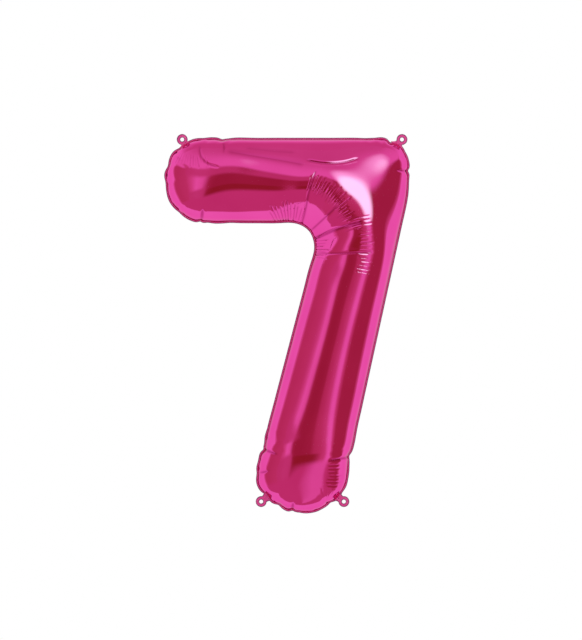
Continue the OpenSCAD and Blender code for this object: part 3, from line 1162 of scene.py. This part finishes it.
def wall_colour(tree, azimuth):
    ramp = node(tree, "ValToRGB", {"Fac": number(tree, "MULTIPLY_ADD", azimuth, 1 / 360, 0.5)})
    stops = ramp.color_ramp.elements
    for angle, level in WALLS:
        stop = stops.new(angle / 360 + 0.5)
        stop.color = (*(level ** power for power in WALL_TINT), 1)
    stops.remove(stops[-1])
    stops.remove(stops[0])
    return ramp.outputs["Color"]


def room(tree, direction):
    """What lies in each direction: walls with patches, ground, ceiling, backdrop and softboxes."""
    parts = node(tree, "SeparateXYZ", {"Vector": direction})
    x, y, z = (parts.outputs[k] for k in "XYZ")
    azimuth = number(tree, "DEGREES", number(tree, "ARCTAN2", x, number(tree, "MULTIPLY", y, -1.0)))
    elevation = number(tree, "DEGREES", number(tree, "ARCSINE", z))
    colour = wall_colour(tree, azimuth)
    for heights, widths, tint in PATCHES:
        shares = [fading(tree, elevation, *pair) for pair in heights]
        shares += [fading(tree, azimuth, *pair) for pair in widths]
        colour = mixed(tree, product(tree, shares + [PATCH_SHARE]), colour, tint)
    pool = product(tree, [fading(tree, azimuth, *pair) for pair in POOL])
    ground = mixed(tree, pool, GROUND_COLOUR, POOL_COLOUR)
    sunk = number(tree, "MULTIPLY_ADD", fading(tree, azimuth, *GROUND_SINKS), SINK, elevation)
    colour = mixed(tree, fading(tree, sunk, *GROUND), colour, ground)
    ceiling = mixed(tree, fading(tree, elevation, *CEILING_FALL), *CEILING_COLOURS)
    colour = mixed(tree, fading(tree, elevation, *CEILING), colour, ceiling)
    backdrop = mixed(tree, fading(tree, elevation, *BACKDROP_FALL), *BACKDROP_COLOURS)
    middle = number(tree, "MULTIPLY", fading(tree, y, *BACKDROP_MIDDLE), MIDDLE_SHARE)
    backdrop = mixed(tree, middle, backdrop, MIDDLE_COLOUR)
    sideways = fading(tree, number(tree, "ABSOLUTE", x), *BACKDROP_SIDES)
    behind = number(tree, "MULTIPLY_ADD", sideways, BACKDROP_RECESS, y)
    colour = mixed(tree, fading(tree, behind, *BACKDROP), colour, backdrop)
    above = fading(tree, elevation, *GLOW)
    for toward, outer, inner, glow_colour in SOFTBOXES:
        vectors = {0: direction, 1: Vector(toward).normalized()}
        aim = node(tree, "VectorMath", vectors, operation="DOT_PRODUCT").outputs["Value"]
        glow = fading(tree, aim, *(cos(radians(angle)) for angle in (outer, inner)))
        colour = mixed(tree, number(tree, "MULTIPLY", glow, above), colour, glow_colour)
    return colour


def studio():
    """A plain studio as a world. Matt surfaces see one even light, and the camera sees plain white."""
    world = bpy.data.worlds.new("studio")
    scene.world = world
    world.use_nodes = True
    world.cycles.sampling_method = "NONE"  # so that matt surfaces really see the light set for them
    tree = world.node_tree
    tree.nodes.clear()
    colour = room(tree, node(tree, "TexCoord").outputs["Generated"])
    rays = node(tree, "LightPath")
    colour = mixed(tree, rays.outputs["Is Diffuse Ray"], colour, MATT_LIGHT)
    colour = mixed(tree, rays.outputs["Is Camera Ray"], colour, (1.0, 1.0, 1.0))
    background = node(tree, "Background", {"Color": colour, "Strength": 1.0})
    node(tree, "OutputWorld", {"Surface": background.outputs[0]})


def pale_floor():
    turns = np.linspace(0, 2 * pi, 96, endpoint=False)
    rim = [(FLOOR_R * cos(a), FLOOR_R * sin(a), FLOOR_Z) for a in turns]
    floor = new_object("floor", rim, [range(len(rim))], floor_material())
    floor.visible_glossy = False


def add_camera():
    lens = bpy.data.cameras.new("camera")
    lens.sensor_fit = "VERTICAL"
    lens.sensor_height = SENSOR
    lens.lens = SENSOR * CAMERA_DISTANCE / VIEW_HEIGHT
    camera = bpy.data.objects.new("camera", lens)
    camera.location = (VIEW_X, -CAMERA_DISTANCE, VIEW_Z)
    camera.rotation_euler = (pi / 2, 0, 0)
    scene.collection.objects.link(camera)
    scene.camera = camera
    scene.view_settings.view_transform = "Standard"


# ---- the whole balloon ----

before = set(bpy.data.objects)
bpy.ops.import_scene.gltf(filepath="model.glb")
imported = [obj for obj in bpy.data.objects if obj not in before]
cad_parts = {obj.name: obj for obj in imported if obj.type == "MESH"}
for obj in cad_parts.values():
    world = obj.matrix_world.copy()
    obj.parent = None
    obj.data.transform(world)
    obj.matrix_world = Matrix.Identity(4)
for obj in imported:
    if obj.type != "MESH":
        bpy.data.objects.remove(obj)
scene = bpy.context.scene
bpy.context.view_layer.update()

studio()
pale_floor()
add_camera()

sheets, shape = inflated_film()
shape = fitted(sheets, shape)
shape = evened(sheets, filled_out(shape))

foil = foil_material()
weld = weld_material()
dull_edge_painted_shade = dull_edge_painted_shade_material()
front_sheet, seam = film_sheet("front_sheet", sheets, shape, True, foil)
rear_sheet, _ = film_sheet("rear_sheet", sheets, shape, False, foil)
for piece, cad_node in ((front_sheet, "front_panel"), (rear_sheet, "rear_panel")):
    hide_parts(cad_node)
    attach(piece, "balloon")
    piece.visible_glossy = False

edge = welded_edge(seam, weld, dull_edge_painted_shade)
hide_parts("edge_seal")
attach(edge, "balloon")
for tab_name in TABS:
    hanging_tab(tab_name, seam, weld, dull_edge_painted_shade)

ply = valve_film_material()
finishes = {"valve_front_ply": ply, "valve_rear_ply": ply, "valve_release_patch": release_ink_material()}
for cad_node, finish in finishes.items():
    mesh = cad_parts[cad_node].data
    mesh.materials.clear()
    mesh.materials.append(finish)
